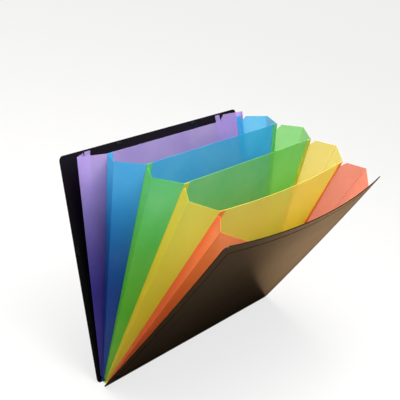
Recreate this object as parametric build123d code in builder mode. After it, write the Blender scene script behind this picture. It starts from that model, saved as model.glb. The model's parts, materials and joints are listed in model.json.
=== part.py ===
"""Accordion file folder: two stiff covers and a fan of five coloured film pockets.

Millimetres. X runs along the bottom edge, -Y is the front, +Z is up. The origin is on the surface that the
folder stands on, midway along it and midway between the top edges of its covers. It stands open, as a fan,
on the bottom edges of its covers.

Each pocket is one creased film: a front panel, and at either side a gusset of two leaves, a front leaf on
the panel's own edge and a rear leaf on a flange that is welded to the panel behind. Panel edges and gusset
creases all run to the two bottom corners, so the pockets fold flat.
"""

import os
from math import atan, cos, degrees, radians, sin, tan

from build123d import *

os.makedirs("parts", exist_ok=True)

# Covers
cover_width = 330.0
cover_height = 254.0
cover_thickness = 1.0
cover_corner_radius = 6.0
front_bow = 14.0  # how far the middle of the front cover's top edge stands forward of its corners
border_inset = 11.0  # the embossed line round the outer face of each cover
border_width = 1.6
border_depth = 0.3

# Film pockets
film_height = 248.0
film_thickness = 0.5
yellow_bow = 6.0  # how far the yellow panel's top edge bellies forward
gusset_inset = 5.0  # from the cover's side edge to the corner that the creases run to
gusset_width = 33.0  # of a flat leaf, along its top edge
gusset_thickness = 0.4
gusset_tip_width = 1.2  # the width of a leaf at its lower end, a little above the corner
flange_width = 9.0
flange_start = 20.0
notch_depth = 7.0  # the bevel at the top of each rear leaf, beside its flange
notch_share = 0.18  # the width of that bevel, of the leaf's own width
crease_trim_share = 0.09  # of a gusset's angle, cut away at the crease so that its leaves pass each other

# Bottom, where the panels are hinged one behind another
layer_pitch = 2.2
hinge_height = 4.0
hem_split = 0.2
hem_gap = 0.3
fold_gap = 0.4
weld_gap = 0.1

# Elastic cords across the back cover's top corners
cord_diameter = 2.5
cord_hole_diameter = 3.0
cord_standoff = 0.5
cord_bend_radius = 2.5
cord_top_reach = 95.0  # from the side edge to the hole by the top edge
cord_side_drop = 104.0  # from the top edge to the hole by the side edge
cord_hole_inset = 3.1
barb_length = 10.0
barb_width = 2.2
barb_thickness = 1.2

overrun = 1.0  # how far a cutting shape passes what it cuts

# Stance, in degrees: how far the back cover leans back, and how far each pocket's gusset leaves are lifted
back_lean_angle = 27.7
purple_lift_angle = 28.9
blue_lift_angle = 53.0
green_lift_angle = 47.4
yellow_lift_angle = 45.9
orange_lift_angle = 39.6

gusset_lifts = {
    "purple": purple_lift_angle,
    "blue": blue_lift_angle,
    "green": green_lift_angle,
    "yellow": yellow_lift_angle,
    "orange": orange_lift_angle,
}
colours = list(gusset_lifts)
sides = {"left": -1, "right": 1}

# Sizes that follow
cover_half = cover_width / 2
cover_top = cover_height - hinge_height
cover_foot = -hinge_height - overrun
bow_foot = cover_foot - overrun
corner_half = cover_half - gusset_inset
film_top_half = corner_half - gusset_width
gusset_angle = degrees(atan(gusset_width / film_height))
crease_angle = gusset_angle * (1 - crease_trim_share)
hem_half = (layer_pitch - hem_split) / 2


def fold_half(rise):
    """Half the width of a panel between its two folds, at a height above the hinges."""
    return corner_half - gusset_width * rise / film_height


def fold_bow(rise):
    """How far the front cover's inner face stands forward of its flat, along the folds."""
    climbed_share = (rise - bow_foot) / (cover_top - bow_foot)
    return front_bow * climbed_share * (1 - (fold_half(cover_top) / cover_half) ** 2)


def pocket_angle(lift):
    """Angle between a pocket's two panels, when its gusset leaves are lifted by so much."""
    g = radians(gusset_angle)
    psi = radians(lift)
    return 2 * degrees(atan(sin(g) * sin(psi) / (cos(g) ** 2 + sin(g) ** 2 * cos(psi))))


# Panels from the back: 0 is the back cover, 1 to 4 are film panels, 5 is the front cover with its film.
# A lean is positive towards the front.
front_panel = len(colours)
leans = [-back_lean_angle]
for colour in colours:
    leans.append(leans[-1] + pocket_angle(gusset_lifts[colour]))
leans[front_panel] -= degrees(atan(fold_bow(film_height) / film_height))

# The hinges lie side by side, placed so that the origin is midway between the covers' top edges.
front_reach = cover_top * sin(radians(leans[front_panel]))
front_reach += (front_bow + cover_thickness) * cos(radians(leans[front_panel]))
back_reach = cover_top * sin(radians(back_lean_angle)) + cover_thickness * cos(radians(back_lean_angle))
back_hinge_y = (layer_pitch * front_panel + front_reach - back_reach) / 2
hinge_y = [back_hinge_y - layer_pitch * panel for panel in range(front_panel + 1)]

# Bowed panels: how far they bow, over what half width, up to what height, from what height
bows = {
    colours.index("yellow") + 1: (yellow_bow, film_top_half, film_height, 0),
    front_panel: (front_bow, cover_half, cover_top, bow_foot),
}


def up_direction(panel):
    """Unit vector up a panel."""
    a = radians(leans[panel])
    return Vector(0, -sin(a), cos(a))


def forward_direction(panel):
    """Unit vector square to a panel, to its front."""
    a = radians(leans[panel])
    return Vector(0, -cos(a), -sin(a))


def hinge_point(panel):
    """Middle of a panel's hinge line."""
    return Vector(0, hinge_y[panel], hinge_height)


def panel_plane(panel, forward=0):
    """Plane of a panel: local x along the hinge, local y up the panel."""
    return Plane(hinge_point(panel), x_dir=(1, 0, 0), z_dir=forward_direction(panel)).offset(forward)


def cross_plane(panel, rise):
    """Plane across a panel: local x along the hinge, local y to the front."""
    up = up_direction(panel)
    return Plane(hinge_point(panel) + up * rise, x_dir=(1, 0, 0), z_dir=-up)


def on_panel(panel, along, rise, forward):
    """Point given in a panel's own directions."""
    return (
        hinge_point(panel)
        + Vector(along, 0, 0)
        + up_direction(panel) * rise
        + forward_direction(panel) * forward
    )


def bow_sections(panel, back, front):
    """Lower and upper cross-section of a layer of a bowed panel. The lower one is straight, and straight
    lines join the two, spread like the folds, so that each fold is a straight line on the layer."""
    bow, half, top, foot = bows[panel]
    high = top + overrun
    bow_here = bow * (high - foot) / (top - foot)
    wide = (half + overrun) * fold_half(high) / fold_half(top)
    wide_below = (half + overrun) * fold_half(foot) / fold_half(top)
    fallen = bow_here * (1 - ((half + overrun) / half) ** 2)
    with BuildSketch(cross_plane(panel, foot)) as lower:
        with BuildLine():
            Polyline(
                (-wide_below, back), (wide_below, back), (wide_below, front), (-wide_below, front), close=True
            )
        make_face()
    with BuildSketch(cross_plane(panel, high)) as upper:
        with BuildLine():
            ThreePointArc((-wide, back + fallen), (0, back + bow_here), (wide, back + fallen))
            Line((wide, back + fallen), (wide, front + fallen))
            ThreePointArc((wide, front + fallen), (0, front + bow_here), (-wide, front + fallen))
            Line((-wide, front + fallen), (-wide, back + fallen))
        make_face()
    return [lower.sketch.face(), upper.sketch.face()]


def film_outline():
    """Corners of a panel's film, in its own plane."""
    return [
        (-fold_half(hem_gap), hem_gap),
        (fold_half(hem_gap), hem_gap),
        (film_top_half, film_height),
        (-film_top_half, film_height),
    ]


def flange_outline(side):
    """Corners of the strip beside a fold where the next pocket's film is welded on."""
    low = fold_half(flange_start)
    return [
        (side * low, flange_start),
        (side * film_top_half, film_height),
        (side * (film_top_half - flange_width), film_height),
        (side * (low - flange_width), flange_start),
    ]


def flat_layer(panel, back, front, outlines):
    """A flat layer of a panel, from its outlines."""
    with BuildPart() as layer:
        with BuildSketch(panel_plane(panel, back)):
            for outline in outlines:
                with BuildLine():
                    Polyline(*outline, close=True)
                make_face()
        extrude(amount=front - back)
    return layer


def bowed_layer(panel, back, front, outlines):
    """A layer of a bowed panel, from its outlines."""
    with BuildPart() as layer:
        loft(bow_sections(panel, back, front), ruled=True)
        with BuildSketch(panel_plane(panel)):
            for outline in outlines:
                with BuildLine():
                    Polyline(*outline, close=True)
                make_face()
        extrude(amount=cover_height, both=True, mode=Mode.INTERSECT)
    return layer


def panel_layer(panel, back, front, outlines):
    """A layer of any panel, from its outlines."""
    make = bowed_layer if panel in bows else flat_layer
    return make(panel, back, front, outlines)


cover_board_height = cover_top - cover_foot
cover_middle = (0, (cover_top + cover_foot) / 2)
border_line = {
    "outer": (cover_width - 2 * border_inset, cover_height - 2 * border_inset),
    "inner": (
        cover_width - 2 * border_inset - 2 * border_width,
        cover_height - 2 * border_inset - 2 * border_width,
    ),
}
border_middle = (0, cover_top - cover_height / 2)
cord_holes = [
    (side * along, rise)
    for side in sides.values()
    for along, rise in (
        (cover_half - cord_top_reach, cover_top - cord_hole_inset),
        (cover_half - cord_hole_inset, cover_top - cord_side_drop),
    )
]


def back_cover():
    """Flat board with the embossed line on its outer face, and the holes of the elastic cords."""
    with BuildPart() as board:
        with BuildSketch(panel_plane(0, -cover_thickness)):
            with Locations(cover_middle):
                RectangleRounded(cover_width, cover_board_height, cover_corner_radius)
        extrude(amount=cover_thickness)
        with BuildSketch(panel_plane(0, -cover_thickness)):
            with Locations(border_middle):
                Rectangle(*border_line["outer"])
                Rectangle(*border_line["inner"], mode=Mode.SUBTRACT)
        extrude(amount=border_depth, mode=Mode.SUBTRACT)
        with BuildSketch(panel_plane(0, overrun)):
            with Locations(*cord_holes):
                Circle(cord_hole_diameter / 2)
        extrude(amount=-cover_thickness - 2 * overrun, mode=Mode.SUBTRACT)
        with BuildSketch(Plane.XY):
            Rectangle(2 * cover_width, 2 * cover_height)
        extrude(amount=-cover_height, mode=Mode.SUBTRACT)
    return board


def front_border():
    """The embossed line of the front cover, as the layer that it takes out of the outer face."""
    with BuildPart() as line:
        loft(bow_sections(front_panel, cover_thickness - border_depth, cover_thickness + overrun), ruled=True)
        with BuildSketch(panel_plane(front_panel)):
            with Locations(border_middle):
                Rectangle(*border_line["outer"])
                Rectangle(*border_line["inner"], mode=Mode.SUBTRACT)
        extrude(amount=cover_height, both=True, mode=Mode.INTERSECT)
    return line


def front_cover():
    """Board whose top edge bows forward, with the embossed line on its outer face."""
    line = front_border()
    with BuildPart() as board:
        loft(bow_sections(front_panel, 0, cover_thickness), ruled=True)
        with BuildSketch(panel_plane(front_panel)):
            with Locations(cover_middle):
                RectangleRounded(cover_width, cover_board_height, cover_corner_radius)
        extrude(amount=cover_height, both=True, mode=Mode.INTERSECT)
        add(line.part, mode=Mode.SUBTRACT)
        with BuildSketch(Plane.XY):
            Rectangle(2 * cover_width, 2 * cover_height)
        extrude(amount=-cover_height, mode=Mode.SUBTRACT)
    return board


def film_layers(panel):
    """Where a panel's film lies, from back to front, measured forward from the panel's plane."""
    if panel == 0:
        return (-cover_thickness, 0)
    if panel == front_panel:
        return (-weld_gap - film_thickness, -weld_gap)
    return (-film_thickness / 2, film_thickness / 2)


def film_panel(panel):
    """A pocket's front panel."""
    return panel_layer(panel, *film_layers(panel), [film_outline()])


def weld_flanges(pocket):
    """The two strips of a pocket's film that are welded to the front of the panel behind it."""
    face = film_layers(pocket - 1)[1] + weld_gap
    outlines = [flange_outline(side) for side in sides.values()]
    return panel_layer(pocket - 1, face, face + gusset_thickness, outlines)


def bottom_hem(panel):
    """The welded strip below a panel, which it is hinged to."""
    steepest = max(abs(leans[0]), abs(leans[front_panel]))
    room = (layer_pitch - hem_half - hem_gap) / tan(radians(steepest))
    top = hinge_height - hem_gap
    with BuildPart() as hem:
        with BuildSketch(Plane.XY.offset(hinge_height - room)):
            with Locations((0, hinge_y[panel])):
                Rectangle(2 * corner_half, 2 * hem_half)
        extrude(amount=top - hinge_height + room)
    return hem


def leaf_fold(pocket, side, rear):
    """A gusset leaf's fold: its lower and upper end, its panel, and the way that the leaf lifts."""
    if rear:
        panel = pocket - 1
        forward = film_layers(panel)[1] + weld_gap + gusset_thickness / 2
        lift_way = forward_direction(panel)
        bow = 0
    else:
        panel = pocket
        forward = sum(film_layers(panel)) / 2
        lift_way = -forward_direction(panel)
        bow = 1 if panel == front_panel else 0
    low = on_panel(panel, side * corner_half, 0, forward + bow * fold_bow(0))
    high = on_panel(panel, side * film_top_half, film_height, forward + bow * fold_bow(film_height))
    return low, high, panel, lift_way


def leaf_frame(pocket, side, rear):
    """A gusset leaf's fold direction, its outward direction when it lies flat, and the way it lifts."""
    low, high, _, lift_way = leaf_fold(pocket, side, rear)
    along = (high - low).normalized()
    outward = Vector(side, 0, 0)
    flat = (outward - along * outward.dot(along)).normalized()
    square = along.cross(flat)
    if square.dot(lift_way) < 0:
        square = -square
    return along, flat, square


def gusset_leaf(pocket, side, rear):
    """One leaf of a gusset, a long triangle with its tip at the bottom corner."""
    low, high, _, _ = leaf_fold(pocket, side, rear)
    along, flat, square = leaf_frame(pocket, side, rear)
    lift = radians(gusset_lifts[colours[pocket - 1]])
    outward = flat * cos(lift) + square * sin(lift)
    plane = Plane(low, x_dir=along, z_dir=along.cross(outward))
    fold_length = (high - low).length
    fall = tan(radians(gusset_angle))
    spread = tan(radians(crease_angle))
    crease_top = fold_length / (1 + fall * spread)
    tip = (fold_gap + gusset_tip_width) / spread
    if rear:
        notch_width = notch_share * crease_top * spread
        top = [(fold_length - notch_depth, fold_gap), (fold_length - notch_width * fall, notch_width)]
    else:
        top = [(fold_length - fold_gap * fall, fold_gap)]
    outline = [
        (tip, fold_gap),
        *top,
        (crease_top, crease_top * spread),
        (tip, tip * spread),
    ]
    with BuildPart() as leaf:
        with BuildSketch(plane.offset(-gusset_thickness / 2)):
            with BuildLine():
                Polyline(*outline, close=True)
            make_face()
        extrude(amount=gusset_thickness)
    return leaf


def elastic_cord(side):
    """Elastic drawn tight across a top corner of the back cover, with both ends through its holes."""
    first, last = [hole for hole in cord_holes if hole[0] * side > 0]
    behind = -cover_thickness - cord_standoff - cord_diameter / 2
    with BuildPart() as cord:
        with BuildLine(panel_plane(0)) as route:
            FilletPolyline(
                (*first, 0), (*first, behind), (*last, behind), (*last, 0), radius=cord_bend_radius
            )
        with BuildSketch(Plane(route.line @ 0, z_dir=route.line % 0)):
            Circle(cord_diameter / 2)
        sweep()
    return cord


def cord_barbs():
    """The four bars on the cords' ends, which lie on the inner face and stop them pulling through."""
    with BuildPart() as barbs:
        with BuildSketch(panel_plane(0)):
            for index, hole in enumerate(cord_holes):
                with Locations(Location((*hole, 0), (0, 0, 90 * (index % 2)))):
                    SlotOverall(barb_length, barb_width)
        extrude(amount=barb_thickness)
    return barbs


nodes = {"back_cover": back_cover(), "front_cover": front_cover()}
for pocket, colour in enumerate(colours, start=1):
    nodes[f"{colour}_panel"] = film_panel(pocket)
    nodes[f"{colour}_weld_flanges"] = weld_flanges(pocket)
    if pocket != front_panel:
        nodes[f"{colour}_bottom_hem"] = bottom_hem(pocket)
    for side_name, side in sides.items():
        nodes[f"{colour}_{side_name}_gusset_rear"] = gusset_leaf(pocket, side, rear=True)
        nodes[f"{colour}_{side_name}_gusset_front"] = gusset_leaf(pocket, side, rear=False)
for side_name, side in sides.items():
    nodes[f"{side_name}_elastic_cord"] = elastic_cord(side)
nodes["cord_end_barbs"] = cord_barbs()

for name, piece in nodes.items():
    piece.part.label = name
    export_step(piece.part, f"parts/{name}.step")
    print(name, round(piece.part.volume, 1))
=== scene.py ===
"""Accordion file folder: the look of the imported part, in the photograph's light and from its camera.

The covers, film panels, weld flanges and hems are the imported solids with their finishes. The gusset
leaves are modelled here, each from its fold to the crease that it shares with the other leaf, and so
are the elastic cords.
"""

import json
import math

import bmesh
import bpy
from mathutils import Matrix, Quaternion, Vector


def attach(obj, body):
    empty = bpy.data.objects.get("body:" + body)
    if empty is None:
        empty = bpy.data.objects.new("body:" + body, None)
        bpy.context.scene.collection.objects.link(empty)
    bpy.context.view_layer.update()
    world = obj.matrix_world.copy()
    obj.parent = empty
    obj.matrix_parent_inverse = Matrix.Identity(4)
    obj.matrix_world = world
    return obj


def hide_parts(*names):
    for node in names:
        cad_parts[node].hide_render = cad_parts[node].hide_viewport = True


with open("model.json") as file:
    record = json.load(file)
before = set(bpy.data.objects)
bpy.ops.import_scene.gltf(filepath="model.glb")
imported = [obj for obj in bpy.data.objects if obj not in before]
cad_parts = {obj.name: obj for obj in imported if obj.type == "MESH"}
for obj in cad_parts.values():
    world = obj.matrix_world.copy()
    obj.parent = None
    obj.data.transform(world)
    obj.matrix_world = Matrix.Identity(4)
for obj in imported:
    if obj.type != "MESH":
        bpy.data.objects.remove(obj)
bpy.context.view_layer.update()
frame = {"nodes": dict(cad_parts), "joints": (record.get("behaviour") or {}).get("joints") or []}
bpy.ops.object.select_all(action="DESELECT")

MM = 0.001
SIDES = {"left": -1, "right": 1}

# Gusset leaves
LEAF_THICKNESS = 0.4 * MM
LEAF_CUTS = 5
NOTCH_DEPTH = 7 * MM  # the bevel at the top of a rear leaf, down its fold
NOTCH_WIDTH = 6 * MM  # and along its top edge
TIP_RISE = 2.5 * MM  # the leaves begin this far above the bottom corner

# Back cover, and the elastic cords across its top corners
BACK_HINGE = Vector((0, 0.906, 4)) * MM
BACK_LEAN = math.radians(27.7)
CORD_DIAMETER = 2.5 * MM
CORD_BEHIND = 2.75 * MM  # from the cover's inner face to the middle of the cord behind it
CORD_HOLES = ((70 * MM, 246.9 * MM), (161.9 * MM, 146 * MM))  # out from the middle, up from the hinge
CORD_TURN = 7.8 * MM  # over this length the cord turns from its hole along the cover

# Film
FILM_FULL_SHADE_BELOW = 90 * MM  # up from the floor, below which the painted shade on the film is fullest
FILM_NO_SHADE_ABOVE = 240 * MM  # and above which there is no painted shade
FILM_CLEAR_SHARE = 0.77  # of the light that passes, what passes without being scattered
HAZE_SIZE = 60 * MM
FROSTING_SIZE = 0.9 * MM  # about 0.1 mm on the film, drawn coarser so that it shows

# Board, elastic and nylon
GRAIN_SIZE = 0.8 * MM  # about 0.2 mm on the board, drawn coarser so that it shows
RUB_SIZE = 45 * MM
BRAID_PITCH = 1.4 * MM
BRAID_RELIEF = 0.15 * MM
WAVE_STEP = 0.31  # from band to band of a wave texture at a scale of 1
FLOW_SIZE = 2 * MM
FINE_RELIEF = 0.05 * MM  # of the frosting, the grain and the flow marks

# A colour Mix node's two inputs and its output
MIX_FIRST, MIX_SECOND, MIX_COLOUR = 6, 7, 2

# Floor, in metres, and how white it is where the camera sees it
FLOOR_WIDTH = 60
FLOOR_WHITENESS = 0.78

# Camera
CAMERA_AT = Vector((-879.9, -485.7, 670.5)) * MM
CAMERA_AIM = Vector((0, 33.96, 172.41)) * MM
CAMERA_ROLL = math.radians(15.6)
CAMERA_LENS = 87.31


# Finishes

def linear(hex_colour, alpha=1.0):
    """An sRGB hex colour as linear RGBA."""
    channels = [int(hex_colour[i:i + 2], 16) / 255 for i in (1, 3, 5)]
    return (*[c / 12.92 if c <= 0.04045 else ((c + 0.055) / 1.055) ** 2.4 for c in channels], alpha)


def add_node(owner, kind, links=None, settings=None, **inputs):
    """Adds a node, sets its properties and input values, and links other nodes' outputs into it."""
    node = owner.node_tree.nodes.new(kind)
    for name, value in (settings or {}).items():
        setattr(node, name, value)
    for name, value in inputs.items():
        node.inputs[name.replace("_", " ")].default_value = value
    for socket, output in (links or {}).items():
        owner.node_tree.links.new(output, node.inputs[socket])
    return node


def new_material(name):
    """An empty node material with its output node."""
    material = bpy.data.materials.new(name)
    material.use_nodes = True
    material.node_tree.nodes.clear()
    return material, add_node(material, "ShaderNodeOutputMaterial")


def frosted_film(name, surface, hazed, glow, through, painted_shade_colour, passed_share):
    """Frosted polypropylene film, extruded and matt-rolled. It scatters the light that passes it, so it
    glows with its colour when lit from either side, and what lies right behind it shows through, tinted.
    Towards the bottom, where the pockets close up, its colours are multiplied darker: painted shade for
    the dimmer light there, not a colour of the film."""
    material, output = new_material(name)
    place = add_node(material, "ShaderNodeTexCoord")
    haze = add_node(material, "ShaderNodeTexNoise", {"Vector": place.outputs["Object"]},
                    Scale=1 / HAZE_SIZE, Detail=3.0, Roughness=0.6)
    haze_share = add_node(material, "ShaderNodeMapRange", {"Value": haze.outputs["Fac"]},
                          From_Min=0.35, From_Max=0.7, To_Min=0.0, To_Max=1.0)
    colour = add_node(material, "ShaderNodeMix", {"Factor": haze_share.outputs["Result"]},
                      {"data_type": "RGBA"})
    colour.inputs[MIX_FIRST].default_value = linear(surface)
    colour.inputs[MIX_SECOND].default_value = linear(hazed)
    # Painted shade: the skin, glow and see-through colours are multiplied darker towards the bottom of
    # the folder
    place_parts = add_node(material, "ShaderNodeSeparateXYZ", {"Vector": place.outputs["Object"]})
    painted_shade_share = add_node(material, "ShaderNodeMapRange", {"Value": place_parts.outputs["Z"]},
                     {"interpolation_type": "SMOOTHSTEP"},
                     From_Min=FILM_FULL_SHADE_BELOW, From_Max=FILM_NO_SHADE_ABOVE, To_Min=1.0, To_Max=0.0)
    by_painted_shade = {"Factor": painted_shade_share.outputs["Result"]}
    multiplied_shade = {"data_type": "RGBA", "blend_type": "MULTIPLY"}
    shaded_skin_tone = add_node(material, "ShaderNodeMix",
                         {**by_painted_shade, MIX_FIRST: colour.outputs[MIX_COLOUR]}, multiplied_shade)
    shaded_glow_tone = add_node(material, "ShaderNodeMix", by_painted_shade, multiplied_shade)
    shaded_glow_tone.inputs[MIX_FIRST].default_value = linear(glow)
    shaded_clear_tone = add_node(material, "ShaderNodeMix", by_painted_shade, multiplied_shade)
    shaded_clear_tone.inputs[MIX_FIRST].default_value = linear(through)
    for tone in (shaded_skin_tone, shaded_glow_tone, shaded_clear_tone):
        tone.inputs[MIX_SECOND].default_value = linear(painted_shade_colour)
    frosting = add_node(material, "ShaderNodeTexNoise", {"Vector": place.outputs["Object"]},
                        Scale=1 / FROSTING_SIZE, Detail=2.0)
    bump = add_node(material, "ShaderNodeBump", {"Height": frosting.outputs["Fac"]},
                    Strength=0.12, Distance=FINE_RELIEF)
    skin = add_node(material, "ShaderNodeBsdfPrincipled",
                    {"Base Color": shaded_skin_tone.outputs[MIX_COLOUR], "Normal": bump.outputs[0]},
                    Roughness=0.42, IOR=1.49)
    scattered = add_node(material, "ShaderNodeBsdfTranslucent", {"Color": shaded_glow_tone.outputs[MIX_COLOUR]})
    clear = add_node(material, "ShaderNodeBsdfTransparent", {"Color": shaded_clear_tone.outputs[MIX_COLOUR]})
    passed = add_node(material, "ShaderNodeMixShader", {1: scattered.outputs[0], 2: clear.outputs[0]},
                      Fac=FILM_CLEAR_SHARE)
    film = add_node(material, "ShaderNodeMixShader", {1: skin.outputs[0], 2: passed.outputs[0]},
                    Fac=passed_share)
    material.node_tree.links.new(film.outputs[0], output.inputs["Surface"])
    return material


def grained_board():
    """Black polypropylene board, extruded and embossed with a fine grain: near black where it faces the
    eye, with a soft sheen where it is seen along its face."""
    material, output = new_material("black_polypropylene_board")
    place = add_node(material, "ShaderNodeTexCoord")
    grain = add_node(material, "ShaderNodeTexNoise", {"Vector": place.outputs["Object"]},
                     Scale=1 / GRAIN_SIZE, Detail=2.0)
    bump = add_node(material, "ShaderNodeBump", {"Height": grain.outputs["Fac"]},
                    Strength=0.15, Distance=FINE_RELIEF)
    rub = add_node(material, "ShaderNodeTexNoise", {"Vector": place.outputs["Object"]},
                   Scale=1 / RUB_SIZE, Detail=4.0, Roughness=0.65)
    roughness = add_node(material, "ShaderNodeMapRange", {"Value": rub.outputs["Fac"]},
                         From_Min=0.3, From_Max=0.7, To_Min=0.14, To_Max=0.19)
    skin = add_node(material, "ShaderNodeBsdfPrincipled",
                    {"Roughness": roughness.outputs["Result"], "Normal": bump.outputs[0]},
                    Base_Color=linear("#0c0b0a"), IOR=1.49, Specular_IOR_Level=0.2,
                    Sheen_Weight=0.02, Sheen_Roughness=0.3, Sheen_Tint=linear("#c8a272"))
    material.node_tree.links.new(skin.outputs[0], output.inputs["Surface"])
    return material


def braided_elastic():
    """Black elastic with a woven polyester sleeve: dull, with the ribs of the braid across it."""
    material, output = new_material("black_braided_elastic")
    place = add_node(material, "ShaderNodeTexCoord")
    ribs = add_node(material, "ShaderNodeTexWave", {"Vector": place.outputs["Object"]},
                    {"bands_direction": "DIAGONAL"},
                    Scale=WAVE_STEP / BRAID_PITCH, Distortion=2.0, Detail=1.0)
    shade = add_node(material, "ShaderNodeMix", {"Factor": ribs.outputs["Fac"]}, {"data_type": "RGBA"})
    shade.inputs[MIX_FIRST].default_value = linear("#0b0b0b")
    shade.inputs[MIX_SECOND].default_value = linear("#232221")
    bump = add_node(material, "ShaderNodeBump", {"Height": ribs.outputs["Fac"]},
                    Strength=0.5, Distance=BRAID_RELIEF)
    skin = add_node(material, "ShaderNodeBsdfPrincipled",
                    {"Base Color": shade.outputs[MIX_COLOUR], "Normal": bump.outputs[0]},
                    Roughness=0.85, IOR=1.5, Sheen_Weight=0.3)
    material.node_tree.links.new(skin.outputs[0], output.inputs["Surface"])
    return material


def moulded_nylon():
    """Black nylon, moulded on to the cord's end: smooth, with a dull shine and faint flow marks."""
    material, output = new_material("black_moulded_nylon")
    place = add_node(material, "ShaderNodeTexCoord")
    flow = add_node(material, "ShaderNodeTexNoise", {"Vector": place.outputs["Object"]},
                    Scale=1 / FLOW_SIZE, Detail=2.0)
    bump = add_node(material, "ShaderNodeBump", {"Height": flow.outputs["Fac"]},
                    Strength=0.1, Distance=FINE_RELIEF)
    skin = add_node(material, "ShaderNodeBsdfPrincipled", {"Normal": bump.outputs[0]},
                    Base_Color=linear("#0d0d0d"), Roughness=0.5, IOR=1.53, Specular_IOR_Level=0.2)
    material.node_tree.links.new(skin.outputs[0], output.inputs["Surface"])
    return material


# Each film's skin, its haze, its glow when lit from behind, what it lets through, the colour of the
# painted shade that darkens it towards the bottom, and the share of light that passes it
FILM_TONES = {
    "purple": ("#c4aee8", "#d8c6f2", "#d6beed", "#e6d8f4", "#7270c8", 0.72),
    "blue": ("#2ec2f8", "#66d2f8", "#80d8f8", "#d2eef4", "#b084cc", 0.72),
    "green": ("#6ce062", "#a4ec96", "#a8f0a0", "#e6f6dc", "#f4f8b0", 0.73),
    "yellow": ("#fcec58", "#fdf084", "#fef4a0", "#fdf7d2", "#fffcc4", 0.74),
    "orange": ("#ff8a60", "#ffa684", "#ffb496", "#ffe0d4", "#fff0e4", 0.76),
}
FILMS = {colour: frosted_film(f"{colour}_frosted_film", *tones) for colour, tones in FILM_TONES.items()}
BOARD = grained_board()
ELASTIC = braided_elastic()
NYLON = moulded_nylon()


def finish_for(node):
    """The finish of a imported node, by its name."""
    if node.endswith("_cover"):
        return BOARD
    if node == "cord_end_barbs":
        return NYLON
    if node.endswith("_elastic_cord"):
        return ELASTIC
    return FILMS[node.split("_")[0]]


for node_name, node_object in frame["nodes"].items():
    node_object.data.materials.clear()
    node_object.data.materials.append(finish_for(node_name))


# Gusset leaves

joints = {joint["child"]: joint for joint in frame["joints"]}


def fold_line(leaf):
    """Lower and upper end of a leaf's fold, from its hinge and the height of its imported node."""
    hinge = joints[leaf]
    middle = Vector(hinge["pos_m"])
    along = Vector(hinge["axis"]).normalized()
    if along.z < 0:
        along.negate()
    reach = max((vertex.co - middle).dot(along) for vertex in frame["nodes"][leaf].data.vertices)
    return middle - along * reach, middle + along * reach


def crease_line(rear_fold, front_fold, height, side):
    """The crease that two leaves share: it starts between their lower ends, stands at one angle to both
    folds, on the outer side, and is as long as the panel is high."""
    corner = (rear_fold[0] + front_fold[0]) / 2
    rear_way = (rear_fold[1] - rear_fold[0]).normalized()
    front_way = (front_fold[1] - front_fold[0]).normalized()
    cosine = height / (front_fold[1] - front_fold[0]).length
    both = rear_way + front_way
    across = rear_way.cross(front_way)
    between = both * (cosine / (1 + rear_way.dot(front_way)))
    outward = across.normalized() * math.sqrt(max(0.0, 1 - between.length_squared))
    if outward.x * side < 0:
        outward.negate()
    return corner, corner + (between + outward) * height


def select_only(mesh, wanted):
    """In edit mode, selects the vertices that pass a test, and nothing else."""
    bpy.ops.mesh.select_all(action="DESELECT")
    sheet = bmesh.from_edit_mesh(mesh)
    for vertex in sheet.verts:
        vertex.select_set(wanted(vertex))
    sheet.select_flush_mode()
    bmesh.update_edit_mesh(mesh)


def four_sided_sheet(name, corners):
    """A sheet with its corners at four points, from a plane whose corners are moved there."""
    bpy.ops.mesh.primitive_plane_add(size=MM)
    piece = bpy.context.object
    piece.name = piece.data.name = name
    starts = [vertex.co.copy() for vertex in piece.data.vertices]
    bpy.ops.object.mode_set(mode="EDIT")
    bpy.ops.mesh.select_mode(type="VERT")
    for index, corner in enumerate(corners):
        select_only(piece.data, lambda vertex: vertex.index == index)
        bpy.ops.transform.translate(value=corner - starts[index])
    bpy.ops.mesh.select_all(action="SELECT")
    bpy.ops.mesh.subdivide(number_cuts=LEAF_CUTS)
    bpy.ops.object.mode_set(mode="OBJECT")
    return piece


def cut_corner(point, outward):
    """Cuts off what lies beyond a plane through a point, on the piece that was made last."""
    bpy.ops.object.mode_set(mode="EDIT")
    bpy.ops.mesh.select_all(action="SELECT")
    bpy.ops.mesh.bisect(plane_co=point, plane_no=outward, clear_outer=True)
    bpy.ops.object.mode_set(mode="OBJECT")


def thicken(piece, thickness):
    """Gives a sheet its thickness, half to each side."""
    wall = piece.modifiers.new("thickness", "SOLIDIFY")
    wall.thickness = thickness
    wall.offset = 0
    bpy.ops.object.modifier_apply(modifier=wall.name)


def gusset_leaf(colour, side_name, row, fold, crease):
    """One leaf, from its fold to the crease. A rear leaf has its bevel at the top of the fold."""
    rise = TIP_RISE / (fold[1] - fold[0]).length
    corners = [fold[0].lerp(fold[1], rise), crease[0].lerp(crease[1], rise), fold[1], crease[1]]
    node = f"{colour}_{side_name}_gusset_{row}"
    leaf = four_sided_sheet(f"{node}_film", corners)
    if row == "rear":
        along = (fold[1] - fold[0]).normalized()
        top_way = (crease[1] - fold[1]).normalized()
        low_end = fold[1] - along * NOTCH_DEPTH
        high_end = fold[1] + top_way * NOTCH_WIDTH
        square = (crease[1] - fold[1]).cross(along)
        outward = (high_end - low_end).cross(square).normalized()
        if outward.dot(fold[1] - low_end) < 0:
            outward.negate()
        cut_corner(low_end, outward)
    thicken(leaf, LEAF_THICKNESS)
    leaf.data.materials.append(FILMS[colour])
    leaf.select_set(False)
    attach(leaf, node)
    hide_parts(node)


for film_colour in FILMS:
    for side_title, side_sign in SIDES.items():
        rear, front = (fold_line(f"{film_colour}_{side_title}_gusset_{row}") for row in ("rear", "front"))
        fold_length = (front[1] - front[0]).length
        sideways = front[1].x - front[0].x
        panel_height = math.sqrt(fold_length ** 2 - sideways ** 2)
        shared_crease = crease_line(rear, front, panel_height, side_sign)
        gusset_leaf(film_colour, side_title, "rear", rear, shared_crease)
        gusset_leaf(film_colour, side_title, "front", front, shared_crease)


# Elastic cords

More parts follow.
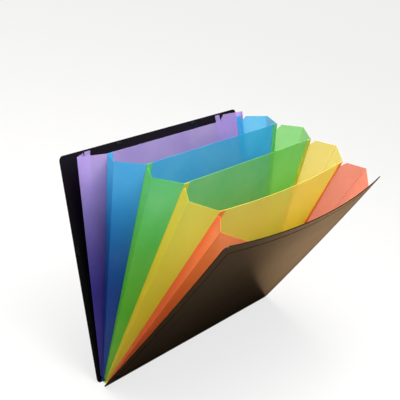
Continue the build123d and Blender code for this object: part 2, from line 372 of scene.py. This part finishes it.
def on_back_cover(along, rise, forward):
    """A point given along the hinge, up the back cover and forward of its inner face."""
    up = Vector((0, math.sin(BACK_LEAN), math.cos(BACK_LEAN)))
    ahead = Vector((0, -math.cos(BACK_LEAN), math.sin(BACK_LEAN)))
    return BACK_HINGE + Vector((along, 0, 0)) + up * rise + ahead * forward


def elastic_cord(side_name, side):
    """Elastic from the hole by the top edge, across the corner, to the hole by the side edge."""
    (top_along, top_rise), (edge_along, edge_rise) = CORD_HOLES
    start = on_back_cover(side * top_along, top_rise, 0)
    first = on_back_cover(side * top_along, top_rise, -CORD_BEHIND)
    last = on_back_cover(side * edge_along, edge_rise, -CORD_BEHIND)
    end = on_back_cover(side * edge_along, edge_rise, 0)
    turn = (last - first).normalized() * CORD_TURN
    bpy.ops.curve.primitive_nurbs_path_add(location=(0, 0, 0))
    cord = bpy.context.object
    cord.name = cord.data.name = f"{side_name}_braided_elastic"
    cord.data.splines.clear()
    spline = cord.data.splines.new("NURBS")
    route = (start, first, first + turn, last - turn, last, end)
    spline.points.add(len(route) - 1)
    for control, point in zip(spline.points, route):
        control.co = (*point, 1)
    spline.order_u = 3
    spline.use_endpoint_u = True
    spline.resolution_u = 12
    cord.data.bevel_depth = CORD_DIAMETER / 2
    cord.data.bevel_resolution = 5
    cord.data.use_fill_caps = True
    cord.data.materials.append(ELASTIC)
    cord.select_set(False)
    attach(cord, "back_cover")
    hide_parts(f"{side_name}_elastic_cord")


for cord_side, cord_sign in SIDES.items():
    elastic_cord(cord_side, cord_sign)


# Floor, light and camera

def pale_floor():
    """A plain pale floor, far wider than the folder, near white where the camera sees it. In reflections
    it is a darker tan instead: a painted reflection tone, so the black covers mirror it in a warmer tone.
    """
    bpy.ops.mesh.primitive_plane_add(size=FLOOR_WIDTH)
    floor = bpy.context.object
    floor.name = "floor"
    material, output = new_material("pale_floor")
    ray = add_node(material, "ShaderNodeLightPath")
    colour = add_node(material, "ShaderNodeMix", {"Factor": ray.outputs["Is Glossy Ray"]},
                      {"data_type": "RGBA"})
    # Its own pale colour, and the darker tan that only reflections see: a painted reflection for the
    # black covers
    colour.inputs[MIX_FIRST].default_value = linear("#c8c7c5")
    colour.inputs[MIX_SECOND].default_value = linear("#92785c")
    skin = add_node(material, "ShaderNodeBsdfDiffuse", {"Color": colour.outputs[MIX_COLOUR]})
    white = add_node(material, "ShaderNodeEmission", Color=linear("#ffffff"))
    share = add_node(material, "ShaderNodeMath", {0: ray.outputs["Is Camera Ray"]},
                     {"operation": "MULTIPLY"})
    share.inputs[1].default_value = FLOOR_WHITENESS
    seen = add_node(material, "ShaderNodeMixShader",
                    {0: share.outputs[0], 1: skin.outputs[0], 2: white.outputs[0]})
    material.node_tree.links.new(seen.outputs[0], output.inputs["Surface"])
    floor.data.materials.append(material)


def soft_light(name, place, aim, width, power, tint):
    """A square soft box that looks at a point."""
    bpy.ops.object.light_add(type="AREA", location=place)
    lamp = bpy.context.object
    lamp.name = name
    lamp.data.size = width
    lamp.data.energy = power
    lamp.data.color = linear(tint)[:3]
    lamp.rotation_euler = (Vector(aim) - Vector(place)).to_track_quat("-Z", "Y").to_euler()


def high_light(name, place, strength, spread, tint):
    """A wide overhead light so far off that it falls evenly on floor and folder."""
    bpy.ops.object.light_add(type="SUN", location=place)
    lamp = bpy.context.object
    lamp.name = name
    lamp.data.energy = strength
    lamp.data.angle = math.radians(spread)
    lamp.data.color = linear(tint)[:3]
    lamp.rotation_euler = (-Vector(place)).to_track_quat("-Z", "Y").to_euler()


def even_sky(tint, strength, seen_strength):
    """A plain world that lights evenly, and is as pale as the far floor where the camera sees it."""
    world = bpy.data.worlds.new("even_sky")
    bpy.context.scene.world = world
    world.use_nodes = True
    sky = world.node_tree.nodes["Background"]
    sky.inputs["Color"].default_value = linear(tint)
    ray = add_node(world, "ShaderNodeLightPath")
    level = add_node(world, "ShaderNodeMapRange", {"Value": ray.outputs["Is Camera Ray"]},
                     To_Min=strength, To_Max=seen_strength)
    world.node_tree.links.new(level.outputs["Result"], sky.inputs["Strength"])


def photo_camera():
    """The camera at the photograph's place, turned about its own line of sight as the photograph is."""
    bpy.ops.object.camera_add(location=CAMERA_AT)
    camera = bpy.context.object
    sight = (CAMERA_AIM - CAMERA_AT).to_track_quat("-Z", "Y")
    camera.rotation_euler = (sight @ Quaternion((0, 0, 1), CAMERA_ROLL)).to_euler()
    camera.data.sensor_fit = "HORIZONTAL"
    camera.data.lens = CAMERA_LENS
    bpy.context.scene.camera = camera


pale_floor()
even_sky("#ffffff", strength=0.1, seen_strength=0.86)
high_light("overhead", place=(0.35, 0.5, 1.7), strength=1.75, spread=24, tint="#fffaf4")
soft_light("mouth", place=(-0.1, -0.06, 0.9), aim=(0, 0.02, 0.2), width=0.6, power=16, tint="#ffffff")
soft_light("side", place=(-1.6, 0.0, 1.5), aim=(0, 0, 0.12), width=1.4, power=9, tint="#ffffff")
photo_camera()
bpy.context.scene.view_settings.view_transform = "Standard"
